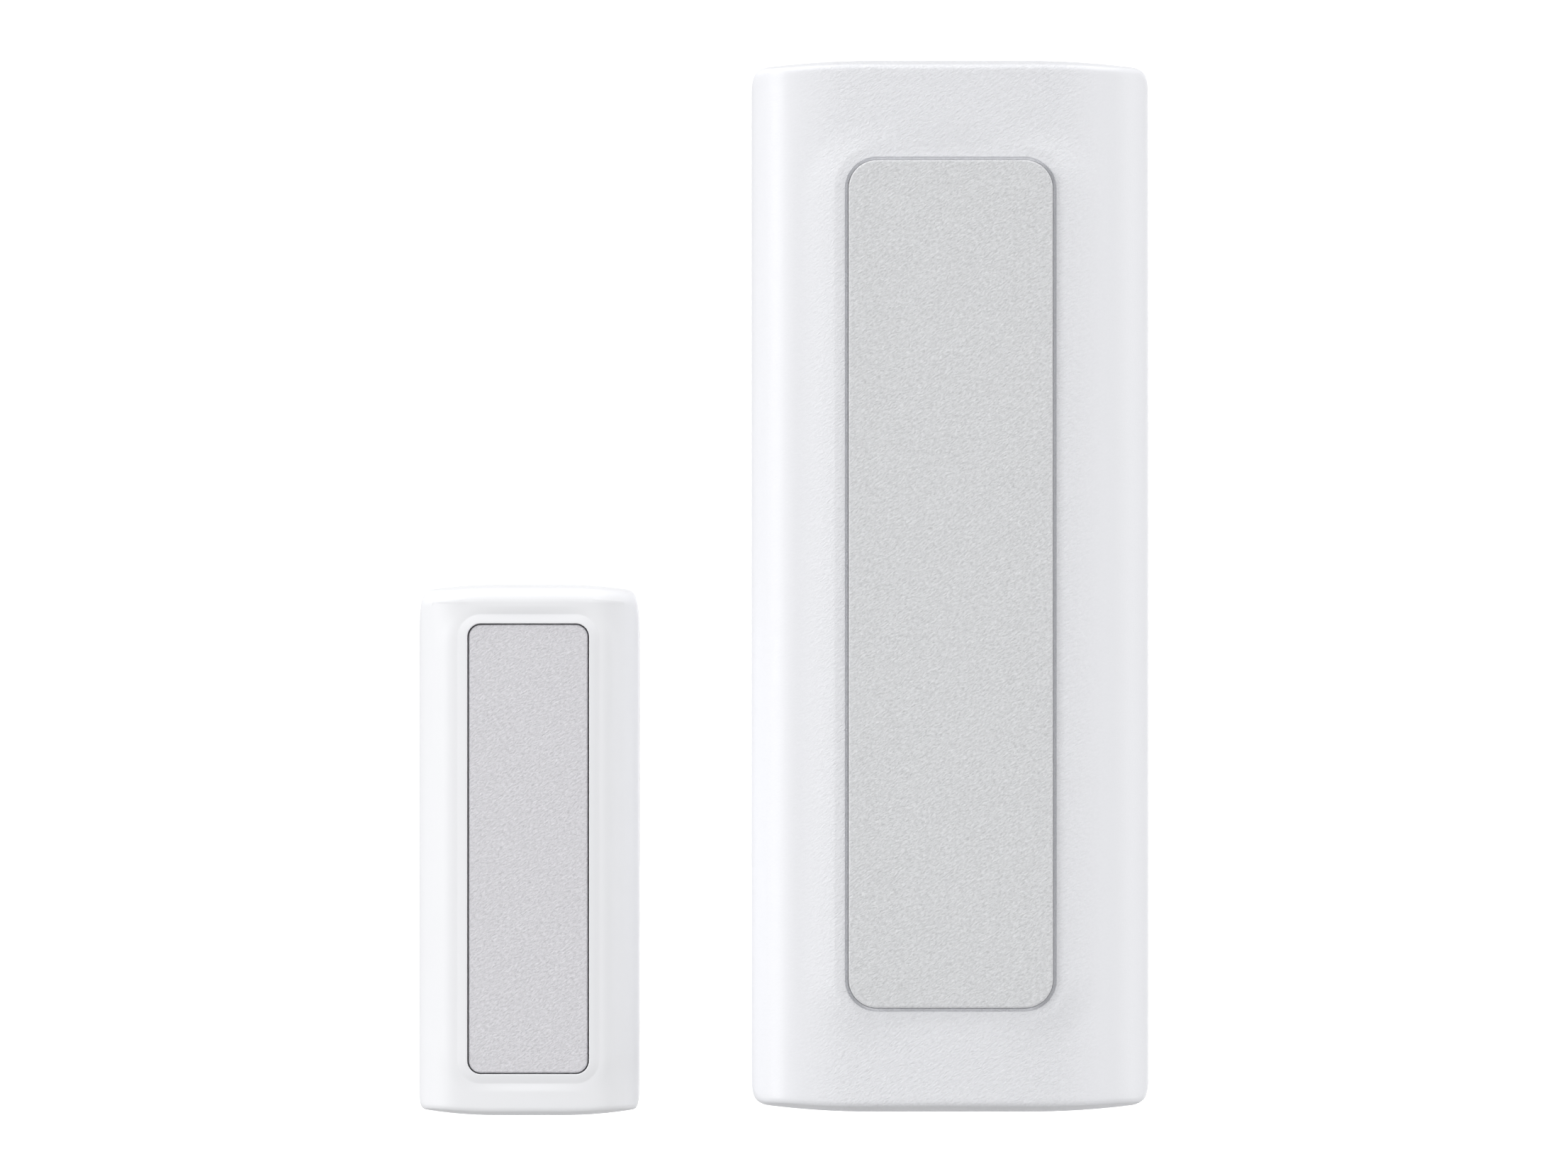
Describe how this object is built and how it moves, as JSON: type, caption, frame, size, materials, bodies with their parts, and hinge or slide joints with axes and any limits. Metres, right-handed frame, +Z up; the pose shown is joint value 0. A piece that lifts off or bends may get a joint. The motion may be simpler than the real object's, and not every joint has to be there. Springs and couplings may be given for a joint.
{
  "type": "door contact sensor",
  "caption": "Two-piece wireless door contact sensor: a tall white sensor unit on a lift-off bracket, and a small magnet unit beside it, each with a grained grey front inlay.",
  "frame": {"origin": "centre of the sensor unit's adhesive face, on the surface it is stuck to", "axes": "+X to the right and +Z up as seen from the front, +Y into the wall or door, so both fronts face -Y"},
  "size_m": [0.0544, 0.015, 0.0788],
  "materials": {
    "cover_plastic": "fine mould grain, matt white",
    "magnet_cover_plastic": "smooth satin white",
    "inlay_plastic": "leathery grain, matt light grey",
    "magnet_inlay_plastic": "leathery grain, matt light grey",
    "button_plastic": "satin white",
    "housing_plastic": "plain moulded white",
    "bracket_plastic": "plain moulded white",
    "adhesive_film": "clear double-sided film",
    "adhesive_foam": "dark closed-cell foam tape",
    "soft_foam": "soft open foam",
    "circuit_laminate": "green solder mask over glass laminate",
    "cell_steel": "brushed nickel-plated steel",
    "spring_contact": "nickel-plated spring strip",
    "screw_steel": "zinc-plated steel",
    "lead_metal": "tinned nickel-iron",
    "reed_glass": "greenish clear glass",
    "shield_metal": "tin-plated sheet",
    "chip_epoxy": "black moulded epoxy",
    "crystal_can": "plated lid",
    "led_body": "pale lens on a white body",
    "ceramic": "sintered ceramic",
    "antenna_metal": "gold-plated sheet",
    "switch_body_plastic": "black moulded plastic",
    "switch_plunger_plastic": "red moulded plastic",
    "magnet_plating": "nickel-plated neodymium"
  },
  "bodies": {
    "bracket": {"mounting_bracket": "bracket_plastic", "sensor_adhesive_pad": "adhesive_foam"},
    "sensor_body": {"sensor_front_cover": "cover_plastic", "sensor_front_inlay": "inlay_plastic", "sensor_inlay_film": "adhesive_film", "sensor_rear_housing": "housing_plastic", "housing_screws": "screw_steel", "circuit_board": "circuit_laminate", "coin_cell": "cell_steel", "battery_contact_negative": "spring_contact", "battery_contact_positive": "spring_contact", "reed_switch_capsule": "reed_glass", "reed_switch_leads": "lead_metal", "radio_shield": "shield_metal", "microcontroller": "chip_epoxy", "timing_crystal": "crystal_can", "status_led": "led_body", "board_capacitors": "ceramic", "antenna_strip": "antenna_metal", "tact_switch_body": "switch_body_plastic", "tamper_switch_body": "switch_body_plastic"},
    "test_button": {"test_button": "button_plastic"},
    "tact_plunger": {"tact_switch_plunger": "switch_plunger_plastic"},
    "tamper_plunger": {"tamper_plunger": "switch_plunger_plastic"},
    "magnet_unit": {"magnet_cover": "magnet_cover_plastic", "magnet_front_inlay": "magnet_inlay_plastic", "magnet_inlay_film": "adhesive_film", "magnet_base": "housing_plastic", "bar_magnet": "magnet_plating", "magnet_foam_pad": "soft_foam", "magnet_adhesive_pad": "adhesive_foam"}
  },
  "joints": [
    {"name": "body_release", "type": "slide", "parent": "bracket", "child": "sensor_body", "axis": [0, 0, 1], "range_m": [0, 0.004]},
    {"name": "test_button_press", "type": "slide", "parent": "sensor_body", "child": "test_button", "axis": [-1, 0, 0], "range_m": [0, 0.0004], "stiffness_N_per_m": 3000, "springref_m": -0.0001},
    {"name": "tact_plunger_travel", "type": "slide", "parent": "sensor_body", "child": "tact_plunger", "axis": [-1, 0, 0], "range_m": [0, 0.0004]},
    {"name": "tamper_plunger_travel", "type": "slide", "parent": "sensor_body", "child": "tamper_plunger", "axis": [0, 1, 0], "range_m": [0, 0.0008]},
    {"name": "magnet_travel", "type": "slide", "parent": "bracket", "child": "magnet_unit", "axis": [-1, 0, 0], "range_m": [0, 0.06]}
  ],
  "couplings": [
    {"joint": "tact_plunger_travel", "follows": "test_button_press", "ratio": 1},
    {"joint": "tamper_plunger_travel", "follows": "body_release", "ratio": 0.2}
  ]
}
